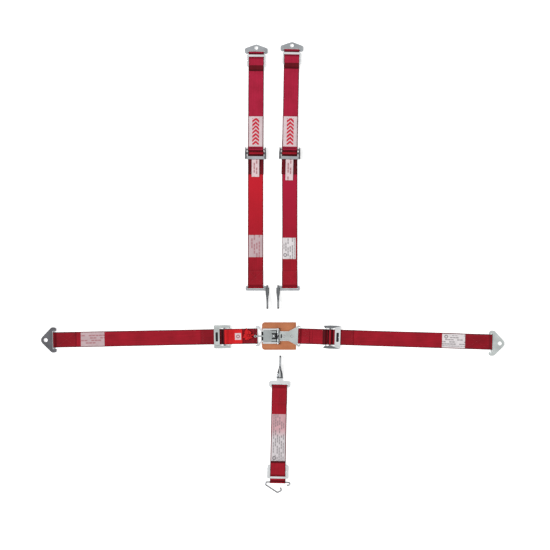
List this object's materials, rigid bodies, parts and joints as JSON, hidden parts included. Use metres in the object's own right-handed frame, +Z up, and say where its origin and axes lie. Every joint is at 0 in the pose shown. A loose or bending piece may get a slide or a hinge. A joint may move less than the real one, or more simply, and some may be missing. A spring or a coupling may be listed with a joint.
{
  "type": "racing harness",
  "caption": "Flat-laid racing harness: a lap belt with a latch and link buckle on a leather pad, separate shoulder straps and a crotch strap with a wire hook.",
  "frame": {"origin": "on the surface the harness lies on, at the middle of its footprint", "axes": "+X along the lap belt towards its right bracket, +Y towards the shoulder brackets, +Z up from the surface"},
  "size_m": [1.5042, 1.4638, 0.0177],
  "materials": {
    "webbing_red": "deep red woven polyester webbing",
    "webbing_bright": "bright red woven tape",
    "label_fabric": "pale woven label, sewn on",
    "tan_leather": "tan leather with a stitched edge",
    "chrome_plate": "bright chrome plate",
    "zinc_plate": "grey zinc plate",
    "dark_steel": "dark plated steel",
    "spring_steel": "bare steel wire"
  },
  "bodies": {
    "buckle": {"leather_pad": "tan_leather", "latch_base": "chrome_plate", "lever_pin": "spring_steel", "lever_spring": "spring_steel", "latch_rivets": "chrome_plate"},
    "lever": {"latch_lever": "chrome_plate", "lever_hook": "chrome_plate", "lever_rivet": "chrome_plate", "lever_ribbon": "webbing_bright"},
    "link": {"link_plate": "chrome_plate"},
    "lap_left": {"lap_left_inner_web": "webbing_red", "lap_left_pull_tail": "webbing_bright", "lap_left_tail_label": "label_fabric"},
    "lap_left_adjuster": {"lap_left_adjuster_frame": "chrome_plate", "lap_left_adjuster_web": "webbing_red"},
    "lap_left_lock": {"lap_left_lock_bar": "dark_steel"},
    "lap_left_outer": {"lap_left_outer_web": "webbing_red", "lap_left_label": "label_fabric"},
    "lap_left_anchor": {"lap_left_bracket": "dark_steel"},
    "lap_right": {"lap_right_inner_web": "webbing_red"},
    "lap_right_adjuster": {"lap_right_adjuster_frame": "chrome_plate", "lap_right_adjuster_web": "webbing_red"},
    "lap_right_lock": {"lap_right_lock_bar": "dark_steel"},
    "lap_right_outer": {"lap_right_outer_web": "webbing_red", "lap_right_label": "label_fabric"},
    "lap_right_anchor": {"lap_right_bracket": "chrome_plate"},
    "shoulder_left": {"shoulder_left_lower_web": "webbing_red", "shoulder_left_label": "label_fabric"},
    "shoulder_left_end": {"shoulder_left_fitting": "zinc_plate"},
    "shoulder_left_upper": {"shoulder_left_upper_web": "webbing_red", "shoulder_left_patch": "label_fabric"},
    "shoulder_left_adjuster": {"shoulder_left_adjuster_frame": "chrome_plate", "shoulder_left_adjuster_web": "webbing_red"},
    "shoulder_left_lock": {"shoulder_left_lock_bar": "dark_steel"},
    "shoulder_left_tab": {"shoulder_left_release_tab": "label_fabric"},
    "shoulder_left_glide": {"shoulder_left_slide": "chrome_plate", "shoulder_left_slide_web": "webbing_red"},
    "shoulder_left_anchor": {"shoulder_left_bracket": "zinc_plate"},
    "shoulder_right": {"shoulder_right_lower_web": "webbing_red", "shoulder_right_label": "label_fabric"},
    "shoulder_right_end": {"shoulder_right_fitting": "zinc_plate"},
    "shoulder_right_upper": {"shoulder_right_upper_web": "webbing_red", "shoulder_right_patch": "label_fabric"},
    "shoulder_right_adjuster": {"shoulder_right_adjuster_frame": "chrome_plate", "shoulder_right_adjuster_web": "webbing_red"},
    "shoulder_right_lock": {"shoulder_right_lock_bar": "dark_steel"},
    "shoulder_right_tab": {"shoulder_right_release_tab": "label_fabric"},
    "shoulder_right_glide": {"shoulder_right_slide": "chrome_plate", "shoulder_right_slide_web": "webbing_red"},
    "shoulder_right_anchor": {"shoulder_right_bracket": "zinc_plate"},
    "crotch": {"crotch_web": "webbing_red", "crotch_label": "label_fabric"},
    "crotch_end": {"crotch_fitting": "zinc_plate"},
    "crotch_glide": {"crotch_slide_frame": "chrome_plate", "crotch_slide_web": "webbing_red"},
    "crotch_anchor": {"crotch_hook": "spring_steel"}
  },
  "joints": [
    {"name": "lever_open", "type": "hinge", "parent": "buckle", "child": "lever", "pos_m": [0.0175, -0.2223, 0.0116], "axis": [0, 1, 0], "range_deg": [0, 100], "stiffness_Nm_per_rad": 0.05},
    {"name": "link_release", "type": "slide", "parent": "buckle", "child": "link", "axis": [-1, 0, 0], "range_m": [0, 0.0361]},
    {"name": "lap_left_drape", "type": "hinge", "parent": "link", "child": "lap_left", "pos_m": [-0.0525, -0.2223, 0.0052], "axis": [-0.0192, 0.9998, 0], "range_deg": [-90, 0]},
    {"name": "lap_left_tilt", "type": "hinge", "parent": "lap_left", "child": "lap_left_adjuster", "pos_m": [-0.14048, -0.22399, 0.0052], "axis": [-0.0192, 0.9998, 0], "range_deg": [0, 60]},
    {"name": "lap_left_lock_bar", "type": "slide", "parent": "lap_left_adjuster", "child": "lap_left_lock", "axis": [-0.9998, -0.0192, 0], "range_m": [0, 0.00121]},
    {"name": "lap_left_adjust", "type": "slide", "parent": "lap_left", "child": "lap_left_outer", "axis": [-0.9998, -0.0192, 0], "range_m": [-0.055, 0.03]},
    {"name": "lap_left_swing", "type": "hinge", "parent": "lap_left_outer", "child": "lap_left_anchor", "pos_m": [-0.71008, -0.23493, 0.0036], "axis": [-0.0192, 0.9998, 0], "range_deg": [-90, 100]},
    {"name": "lap_right_drape", "type": "hinge", "parent": "buckle", "child": "lap_right", "pos_m": [0.0855, -0.2223, 0.0052], "axis": [-0.0314, -0.9995, 0], "range_deg": [-90, 0]},
    {"name": "lap_right_tilt", "type": "hinge", "parent": "lap_right", "child": "lap_right_adjuster", "pos_m": [0.16946, -0.22494, 0.0052], "axis": [-0.0314, -0.9995, 0], "range_deg": [0, 60]},
    {"name": "lap_right_lock_bar", "type": "slide", "parent": "lap_right_adjuster", "child": "lap_right_lock", "axis": [0.9995, -0.0314, 0], "range_m": [0, 0.00121]},
    {"name": "lap_right_adjust", "type": "slide", "parent": "lap_right", "child": "lap_right_outer", "axis": [0.9995, -0.0314, 0], "range_m": [-0.055, 0.03]},
    {"name": "lap_right_swing", "type": "hinge", "parent": "lap_right_outer", "child": "lap_right_anchor", "pos_m": [0.71019, -0.24193, 0.0036], "axis": [-0.0314, -0.9995, 0], "range_deg": [-90, 100]},
    {"name": "shoulder_left_place", "type": "slide", "parent": "buckle", "child": "shoulder_left", "axis": [0, 1, 0], "range_m": [-0.03, 0.15]},
    {"name": "shoulder_left_end_turn", "type": "hinge", "parent": "shoulder_left", "child": "shoulder_left_end", "pos_m": [-0.0555, -0.064, 0.0036], "axis": [-1, 0, 0], "range_deg": [-90, 100]},
    {"name": "shoulder_left_adjust", "type": "slide", "parent": "shoulder_left", "child": "shoulder_left_upper", "axis": [0, 1, 0], "range_m": [-0.15, 0.02]},
    {"name": "shoulder_left_tilt", "type": "hinge", "parent": "shoulder_left_upper", "child": "shoulder_left_adjuster", "pos_m": [-0.0555, 0.383, 0.0052], "axis": [-1, 0.007, 0], "range_deg": [0, 60]},
    {"name": "shoulder_left_lock_bar", "type": "slide", "parent": "shoulder_left_adjuster", "child": "shoulder_left_lock", "axis": [-0.007, -1, 0], "range_m": [0, 0.00121]},
    {"name": "shoulder_left_tab_lift", "type": "hinge", "parent": "shoulder_left_adjuster", "child": "shoulder_left_tab", "pos_m": [-0.05573, 0.3506, 0.0106], "axis": [-1, 0.007, 0], "range_deg": [0, 100]},
    {"name": "shoulder_left_glide_travel", "type": "slide", "parent": "shoulder_left_upper", "child": "shoulder_left_glide", "axis": [-0.007, -1, 0], "range_m": [0, 0.04]},
    {"name": "shoulder_left_swing", "type": "hinge", "parent": "shoulder_left_upper", "child": "shoulder_left_anchor", "pos_m": [-0.0533, 0.69799, 0.0052], "axis": [1, -0.007, 0], "range_deg": [-90, 100]},
    {"name": "shoulder_right_place", "type": "slide", "parent": "buckle", "child": "shoulder_right", "axis": [0, 1, 0], "range_m": [-0.03, 0.15]},
    {"name": "shoulder_right_end_turn", "type": "hinge", "parent": "shoulder_right", "child": "shoulder_right_end", "pos_m": [0.0555, -0.064, 0.0036], "axis": [-1, 0, 0], "range_deg": [-90, 100]},
    {"name": "shoulder_right_adjust", "type": "slide", "parent": "shoulder_right", "child": "shoulder_right_upper", "axis": [0, 1, 0], "range_m": [-0.15, 0.02]},
    {"name": "shoulder_right_tilt", "type": "hinge", "parent": "shoulder_right_upper", "child": "shoulder_right_adjuster", "pos_m": [0.0555, 0.383, 0.0052], "axis": [-0.9998, 0.0209, 0], "range_deg": [0, 60]},
    {"name": "shoulder_right_lock_bar", "type": "slide", "parent": "shoulder_right_adjuster", "child": "shoulder_right_lock", "axis": [-0.0209, -0.9998, 0], "range_m": [0, 0.00121]},
    {"name": "shoulder_right_tab_lift", "type": "hinge", "parent": "shoulder_right_adjuster", "child": "shoulder_right_tab", "pos_m": [0.05482, 0.35061, 0.0106], "axis": [-0.9998, 0.0209, 0], "range_deg": [0, 100]},
    {"name": "shoulder_right_glide_travel", "type": "slide", "parent": "shoulder_right_upper", "child": "shoulder_right_glide", "axis": [-0.0209, -0.9998, 0], "range_m": [0, 0.04]},
    {"name": "shoulder_right_swing", "type": "hinge", "parent": "shoulder_right_upper", "child": "shoulder_right_anchor", "pos_m": [0.06226, 0.70593, 0.0052], "axis": [0.9998, -0.0209, 0], "range_deg": [-90, 100]},
    {"name": "crotch_place", "type": "slide", "parent": "buckle", "child": "crotch", "axis": [0, -1, 0], "range_m": [-0.01, 0.15]},
    {"name": "crotch_end_turn", "type": "hinge", "parent": "crotch", "child": "crotch_end", "pos_m": [0.0224, -0.383, 0.0036], "axis": [0.9998, -0.0209, 0], "range_deg": [-90, 100]},
    {"name": "crotch_glide_travel", "type": "slide", "parent": "crotch", "child": "crotch_glide", "axis": [0.0209, 0.9998, 0], "range_m": [0, 0.04]},
    {"name": "crotch_hook_swing", "type": "hinge", "parent": "crotch", "child": "crotch_anchor", "pos_m": [0.01582, -0.69693, 0.0036], "axis": [-0.9998, 0.0209, 0], "range_deg": [-90, 100]}
  ],
  "couplings": [
    {"joint": "link_release", "follows": "lever_open", "m_per_rad": 0.020626},
    {"joint": "lap_left_lock_bar", "follows": "lap_left_tilt", "m_per_rad": 0.0011459},
    {"joint": "lap_right_lock_bar", "follows": "lap_right_tilt", "m_per_rad": 0.0011459},
    {"joint": "shoulder_left_lock_bar", "follows": "shoulder_left_tilt", "m_per_rad": 0.0011459},
    {"joint": "shoulder_right_lock_bar", "follows": "shoulder_right_tilt", "m_per_rad": 0.0011459}
  ]
}
